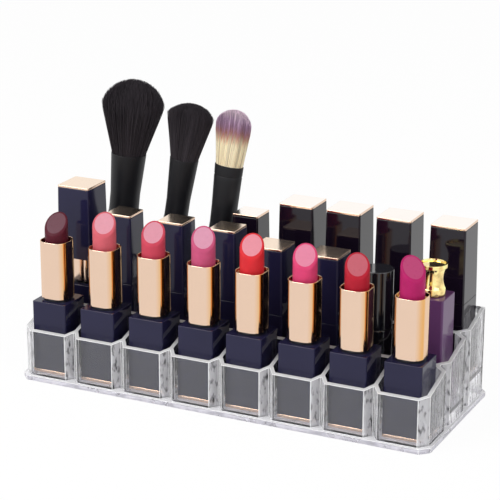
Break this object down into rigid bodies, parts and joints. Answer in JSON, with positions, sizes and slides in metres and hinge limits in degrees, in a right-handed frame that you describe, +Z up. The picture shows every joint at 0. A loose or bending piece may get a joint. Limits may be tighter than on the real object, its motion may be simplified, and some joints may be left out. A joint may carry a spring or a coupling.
{
  "type": "vanity organizer",
  "caption": "Clear tiered lipstick stand of square slots, stocked with open lipsticks in front, capped ones, a lip gloss and a vial behind, and makeup brushes at the back.",
  "frame": {"origin": "centre of the tray's underside, on the surface that it stands on", "axes": "+X along the tray to the right, -Y to the front, +Z up"},
  "size_m": [0.225, 0.0953, 0.1449],
  "materials": {
    "clear_plastic": "clear polished moulding",
    "navy_plastic": "glossy",
    "gold_metal": "polished rose gold",
    "black_plastic": "glossy",
    "purple_plastic": "glossy",
    "black_lacquer": "black lacquer",
    "black_metal": "satin black",
    "charcoal_hair": "soft hair",
    "tan_hair": "soft two-tone hair",
    "wax_plum": "satin wax",
    "wax_salmon": "satin wax",
    "wax_coral_rose": "satin wax",
    "wax_orchid": "satin wax",
    "wax_coral_red": "satin wax",
    "wax_hot_pink": "satin wax",
    "wax_rose_red": "satin wax",
    "wax_magenta": "satin wax"
  },
  "bodies": {
    "tray": {"organizer_tray": "clear_plastic"},
    "front_lipstick_1": {"front_lipstick_1_case": "navy_plastic"},
    "front_lipstick_1_turning_tube": {"front_lipstick_1_tube": "gold_metal"},
    "front_lipstick_1_wax": {"front_lipstick_1_bullet": "wax_plum"},
    "front_lipstick_2": {"front_lipstick_2_case": "navy_plastic"},
    "front_lipstick_2_turning_tube": {"front_lipstick_2_tube": "gold_metal"},
    "front_lipstick_2_wax": {"front_lipstick_2_bullet": "wax_salmon"},
    "front_lipstick_3": {"front_lipstick_3_case": "navy_plastic"},
    "front_lipstick_3_turning_tube": {"front_lipstick_3_tube": "gold_metal"},
    "front_lipstick_3_wax": {"front_lipstick_3_bullet": "wax_coral_rose"},
    "front_lipstick_4": {"front_lipstick_4_case": "navy_plastic"},
    "front_lipstick_4_turning_tube": {"front_lipstick_4_tube": "gold_metal"},
    "front_lipstick_4_wax": {"front_lipstick_4_bullet": "wax_orchid"},
    "front_lipstick_5": {"front_lipstick_5_case": "navy_plastic"},
    "front_lipstick_5_turning_tube": {"front_lipstick_5_tube": "gold_metal"},
    "front_lipstick_5_wax": {"front_lipstick_5_bullet": "wax_coral_red"},
    "front_lipstick_6": {"front_lipstick_6_case": "navy_plastic"},
    "front_lipstick_6_turning_tube": {"front_lipstick_6_tube": "gold_metal"},
    "front_lipstick_6_wax": {"front_lipstick_6_bullet": "wax_hot_pink"},
    "front_lipstick_7": {"front_lipstick_7_case": "navy_plastic"},
    "front_lipstick_7_turning_tube": {"front_lipstick_7_tube": "gold_metal"},
    "front_lipstick_7_wax": {"front_lipstick_7_bullet": "wax_rose_red"},
    "front_lipstick_8": {"front_lipstick_8_case": "navy_plastic"},
    "front_lipstick_8_turning_tube": {"front_lipstick_8_tube": "gold_metal"},
    "front_lipstick_8_wax": {"front_lipstick_8_bullet": "wax_magenta"},
    "middle_lipstick_1": {"middle_lipstick_1_case": "navy_plastic"},
    "middle_lipstick_1_top": {"middle_lipstick_1_cap": "navy_plastic"},
    "middle_lipstick_2": {"middle_lipstick_2_case": "navy_plastic"},
    "middle_lipstick_2_top": {"middle_lipstick_2_cap": "navy_plastic"},
    "middle_lipstick_3": {"middle_lipstick_3_case": "navy_plastic"},
    "middle_lipstick_3_top": {"middle_lipstick_3_cap": "navy_plastic"},
    "middle_lipstick_4": {"middle_lipstick_4_case": "navy_plastic"},
    "middle_lipstick_4_top": {"middle_lipstick_4_cap": "navy_plastic"},
    "middle_lipstick_5": {"middle_lipstick_5_case": "navy_plastic"},
    "middle_lipstick_5_top": {"middle_lipstick_5_cap": "navy_plastic"},
    "middle_lipstick_6": {"middle_lipstick_6_case": "navy_plastic"},
    "middle_lipstick_6_top": {"middle_lipstick_6_cap": "navy_plastic"},
    "rear_lipstick_4": {"rear_lipstick_4_case": "navy_plastic"},
    "rear_lipstick_4_top": {"rear_lipstick_4_cap": "navy_plastic"},
    "rear_lipstick_5": {"rear_lipstick_5_case": "navy_plastic"},
    "rear_lipstick_5_top": {"rear_lipstick_5_cap": "navy_plastic"},
    "rear_lipstick_6": {"rear_lipstick_6_case": "navy_plastic"},
    "rear_lipstick_6_top": {"rear_lipstick_6_cap": "navy_plastic"},
    "rear_lipstick_7": {"rear_lipstick_7_case": "navy_plastic"},
    "rear_lipstick_7_top": {"rear_lipstick_7_cap": "navy_plastic"},
    "rear_lipstick_8": {"rear_lipstick_8_case": "navy_plastic"},
    "rear_lipstick_8_top": {"rear_lipstick_8_cap": "navy_plastic"},
    "lip_gloss": {"lip_gloss_bottle": "black_plastic"},
    "lip_gloss_top": {"lip_gloss_cap": "black_plastic"},
    "purple_vial": {"purple_vial_body": "purple_plastic"},
    "purple_vial_top": {"purple_vial_stopper": "gold_metal"},
    "powder_brush": {"powder_brush_handle": "black_lacquer", "powder_brush_ferrule": "black_metal", "powder_brush_hair": "charcoal_hair"},
    "blush_brush": {"blush_brush_handle": "black_lacquer", "blush_brush_ferrule": "black_metal", "blush_brush_hair": "charcoal_hair"},
    "foundation_brush": {"foundation_brush_handle": "black_lacquer", "foundation_brush_ferrule": "black_metal", "foundation_brush_hair": "tan_hair"}
  },
  "joints": [
    {"name": "front_lipstick_1_lift", "type": "slide", "parent": "tray", "child": "front_lipstick_1", "axis": [0, 0, 1], "range_m": [0, 0.05]},
    {"name": "front_lipstick_1_twist", "type": "hinge", "parent": "front_lipstick_1", "child": "front_lipstick_1_turning_tube", "pos_m": [-0.09776, -0.0275, 0.0032], "axis": [0, 0, -1], "range_deg": [-265.71, 94.29]},
    {"name": "front_lipstick_1_rise", "type": "slide", "parent": "front_lipstick_1", "child": "front_lipstick_1_wax", "axis": [0, 0, 1], "range_m": [-0.01551, 0.00551]},
    {"name": "front_lipstick_2_lift", "type": "slide", "parent": "tray", "child": "front_lipstick_2", "axis": [0, 0, 1], "range_m": [0, 0.05]},
    {"name": "front_lipstick_2_twist", "type": "hinge", "parent": "front_lipstick_2", "child": "front_lipstick_2_turning_tube", "pos_m": [-0.06957, -0.0275, 0.0032], "axis": [0, 0, -1], "range_deg": [-329.14, 30.86]},
    {"name": "front_lipstick_2_rise", "type": "slide", "parent": "front_lipstick_2", "child": "front_lipstick_2_wax", "axis": [0, 0, 1], "range_m": [-0.01921, 0.00181]},
    {"name": "front_lipstick_3_lift", "type": "slide", "parent": "tray", "child": "front_lipstick_3", "axis": [0, 0, 1], "range_m": [0, 0.05]},
    {"name": "front_lipstick_3_twist", "type": "hinge", "parent": "front_lipstick_3", "child": "front_lipstick_3_turning_tube", "pos_m": [-0.04152, -0.0275, 0.0032], "axis": [0, 0, -1], "range_deg": [-313.71, 46.29]},
    {"name": "front_lipstick_3_rise", "type": "slide", "parent": "front_lipstick_3", "child": "front_lipstick_3_wax", "axis": [0, 0, 1], "range_m": [-0.01831, 0.00271]},
    {"name": "front_lipstick_4_lift", "type": "slide", "parent": "tray", "child": "front_lipstick_4", "axis": [0, 0, 1], "range_m": [0, 0.05]},
    {"name": "front_lipstick_4_twist", "type": "hinge", "parent": "front_lipstick_4", "child": "front_lipstick_4_turning_tube", "pos_m": [-0.01356, -0.0275, 0.0032], "axis": [0, 0, -1], "range_deg": [-334.29, 25.71]},
    {"name": "front_lipstick_4_rise", "type": "slide", "parent": "front_lipstick_4", "child": "front_lipstick_4_wax", "axis": [0, 0, 1], "range_m": [-0.01951, 0.00151]},
    {"name": "front_lipstick_5_lift", "type": "slide", "parent": "tray", "child": "front_lipstick_5", "axis": [0, 0, 1], "range_m": [0, 0.05]},
    {"name": "front_lipstick_5_twist", "type": "hinge", "parent": "front_lipstick_5", "child": "front_lipstick_5_turning_tube", "pos_m": [0.01293, -0.0275, 0.0032], "axis": [0, 0, -1], "range_deg": [-334.29, 25.71]},
    {"name": "front_lipstick_5_rise", "type": "slide", "parent": "front_lipstick_5", "child": "front_lipstick_5_wax", "axis": [0, 0, 1], "range_m": [-0.01951, 0.00151]},
    {"name": "front_lipstick_6_lift", "type": "slide", "parent": "tray", "child": "front_lipstick_6", "axis": [0, 0, 1], "range_m": [0, 0.05]},
    {"name": "front_lipstick_6_twist", "type": "hinge", "parent": "front_lipstick_6", "child": "front_lipstick_6_turning_tube", "pos_m": [0.04125, -0.0275, 0.0032], "axis": [0, 0, -1], "range_deg": [-315.43, 44.57]},
    {"name": "front_lipstick_6_rise", "type": "slide", "parent": "front_lipstick_6", "child": "front_lipstick_6_wax", "axis": [0, 0, 1], "range_m": [-0.01841, 0.00261]},
    {"name": "front_lipstick_7_lift", "type": "slide", "parent": "tray", "child": "front_lipstick_7", "axis": [0, 0, 1], "range_m": [0, 0.05]},
    {"name": "front_lipstick_7_twist", "type": "hinge", "parent": "front_lipstick_7", "child": "front_lipstick_7_turning_tube", "pos_m": [0.06834, -0.0275, 0.0032], "axis": [0, 0, -1], "range_deg": [-301.71, 58.29]},
    {"name": "front_lipstick_7_rise", "type": "slide", "parent": "front_lipstick_7", "child": "front_lipstick_7_wax", "axis": [0, 0, 1], "range_m": [-0.01761, 0.00341]},
    {"name": "front_lipstick_8_lift", "type": "slide", "parent": "tray", "child": "front_lipstick_8", "axis": [0, 0, 1], "range_m": [0, 0.05]},
    {"name": "front_lipstick_8_twist", "type": "hinge", "parent": "front_lipstick_8", "child": "front_lipstick_8_turning_tube", "pos_m": [0.09644, -0.0275, 0.0032], "axis": [0, 0, -1], "range_deg": [-349.71, 10.29]},
    {"name": "front_lipstick_8_rise", "type": "slide", "parent": "front_lipstick_8", "child": "front_lipstick_8_wax", "axis": [0, 0, 1], "range_m": [-0.02041, 0.00061]},
    {"name": "middle_lipstick_1_lift", "type": "slide", "parent": "tray", "child": "middle_lipstick_1", "axis": [0, 0, 1], "range_m": [0, 0.0433]},
    {"name": "middle_lipstick_1_cap_pull", "type": "slide", "parent": "middle_lipstick_1", "child": "middle_lipstick_1_top", "axis": [0, 0, 1], "range_m": [-0.014, 0.0257]},
    {"name": "middle_lipstick_2_lift", "type": "slide", "parent": "tray", "child": "middle_lipstick_2", "axis": [0, 0, 1], "range_m": [0, 0.0433]},
    {"name": "middle_lipstick_2_cap_pull", "type": "slide", "parent": "middle_lipstick_2", "child": "middle_lipstick_2_top", "axis": [0, 0, 1], "range_m": [0, 0.0377]},
    {"name": "middle_lipstick_3_lift", "type": "slide", "parent": "tray", "child": "middle_lipstick_3", "axis": [0, 0, 1], "range_m": [0, 0.0433]},
    {"name": "middle_lipstick_3_cap_pull", "type": "slide", "parent": "middle_lipstick_3", "child": "middle_lipstick_3_top", "axis": [0, 0, 1], "range_m": [0, 0.0377]},
    {"name": "middle_lipstick_4_lift", "type": "slide", "parent": "tray", "child": "middle_lipstick_4", "axis": [0, 0, 1], "range_m": [0, 0.0433]},
    {"name": "middle_lipstick_4_cap_pull", "type": "slide", "parent": "middle_lipstick_4", "child": "middle_lipstick_4_top", "axis": [0, 0, 1], "range_m": [0, 0.0377]},
    {"name": "middle_lipstick_5_lift", "type": "slide", "parent": "tray", "child": "middle_lipstick_5", "axis": [0, 0, 1], "range_m": [0, 0.0433]},
    {"name": "middle_lipstick_5_cap_pull", "type": "slide", "parent": "middle_lipstick_5", "child": "middle_lipstick_5_top", "axis": [0, 0, 1], "range_m": [0, 0.0352]},
    {"name": "middle_lipstick_6_lift", "type": "slide", "parent": "tray", "child": "middle_lipstick_6", "axis": [0, 0, 1], "range_m": [0, 0.0433]},
    {"name": "middle_lipstick_6_cap_pull", "type": "slide", "parent": "middle_lipstick_6", "child": "middle_lipstick_6_top", "axis": [0, 0, 1], "range_m": [0, 0.0352]},
    {"name": "rear_lipstick_4_lift", "type": "slide", "parent": "tray", "child": "rear_lipstick_4", "axis": [0, 0, 1], "range_m": [0, 0.0366]},
    {"name": "rear_lipstick_4_cap_pull", "type": "slide", "parent": "rear_lipstick_4", "child": "rear_lipstick_4_top", "axis": [0, 0, 1], "range_m": [0, 0.0352]},
    {"name": "rear_lipstick_5_lift", "type": "slide", "parent": "tray", "child": "rear_lipstick_5", "axis": [0, 0, 1], "range_m": [0, 0.0366]},
    {"name": "rear_lipstick_5_cap_pull", "type": "slide", "parent": "rear_lipstick_5", "child": "rear_lipstick_5_top", "axis": [0, 0, 1], "range_m": [0, 0.0397]},
    {"name": "rear_lipstick_6_lift", "type": "slide", "parent": "tray", "child": "rear_lipstick_6", "axis": [0, 0, 1], "range_m": [0, 0.0366]},
    {"name": "rear_lipstick_6_cap_pull", "type": "slide", "parent": "rear_lipstick_6", "child": "rear_lipstick_6_top", "axis": [0, 0, 1], "range_m": [0, 0.0397]},
    {"name": "rear_lipstick_7_lift", "type": "slide", "parent": "tray", "child": "rear_lipstick_7", "axis": [0, 0, 1], "range_m": [0, 0.0366]},
    {"name": "rear_lipstick_7_cap_pull", "type": "slide", "parent": "rear_lipstick_7", "child": "rear_lipstick_7_top", "axis": [0, 0, 1], "range_m": [0, 0.0397]},
    {"name": "rear_lipstick_8_lift", "type": "slide", "parent": "tray", "child": "rear_lipstick_8", "axis": [0, 0, 1], "range_m": [0, 0.0366]},
    {"name": "rear_lipstick_8_cap_pull", "type": "slide", "parent": "rear_lipstick_8", "child": "rear_lipstick_8_top", "axis": [0, 0, 1], "range_m": [0, 0.0397]},
    {"name": "lip_gloss_lift", "type": "slide", "parent": "tray", "child": "lip_gloss", "axis": [0, 0, 1], "range_m": [0, 0.0433]},
    {"name": "lip_gloss_cap_pull", "type": "slide", "parent": "lip_gloss", "child": "lip_gloss_top", "axis": [0, 0, 1], "range_m": [0, 0.0426]},
    {"name": "purple_vial_lift", "type": "slide", "parent": "tray", "child": "purple_vial", "axis": [0, 0, 1], "range_m": [0, 0.0433]},
    {"name": "purple_vial_stopper_pull", "type": "slide", "parent": "purple_vial", "child": "purple_vial_top", "axis": [0, 0, 1], "range_m": [0, 0.018]},
    {"name": "powder_brush_lift", "type": "slide", "parent": "tray", "child": "powder_brush", "axis": [0.087, 0.0521, 0.9948], "range_m": [0, 0.0366]},
    {"name": "blush_brush_lift", "type": "slide", "parent": "tray", "child": "blush_brush", "axis": [0.1373, 0.0518, 0.9892], "range_m": [0, 0.0366]},
    {"name": "foundation_brush_lift", "type": "slide", "parent": "tray", "child": "foundation_brush", "axis": [0.094, 0.0521, 0.9942], "range_m": [0, 0.0366]}
  ],
  "couplings": [
    {"joint": "front_lipstick_1_rise", "follows": "front_lipstick_1_twist", "m_per_rad": 0.0033423},
    {"joint": "front_lipstick_2_rise", "follows": "front_lipstick_2_twist", "m_per_rad": 0.0033423},
    {"joint": "front_lipstick_3_rise", "follows": "front_lipstick_3_twist", "m_per_rad": 0.0033423},
    {"joint": "front_lipstick_4_rise", "follows": "front_lipstick_4_twist", "m_per_rad": 0.0033423},
    {"joint": "front_lipstick_5_rise", "follows": "front_lipstick_5_twist", "m_per_rad": 0.0033423},
    {"joint": "front_lipstick_6_rise", "follows": "front_lipstick_6_twist", "m_per_rad": 0.0033423},
    {"joint": "front_lipstick_7_rise", "follows": "front_lipstick_7_twist", "m_per_rad": 0.0033423},
    {"joint": "front_lipstick_8_rise", "follows": "front_lipstick_8_twist", "m_per_rad": 0.0033423}
  ]
}
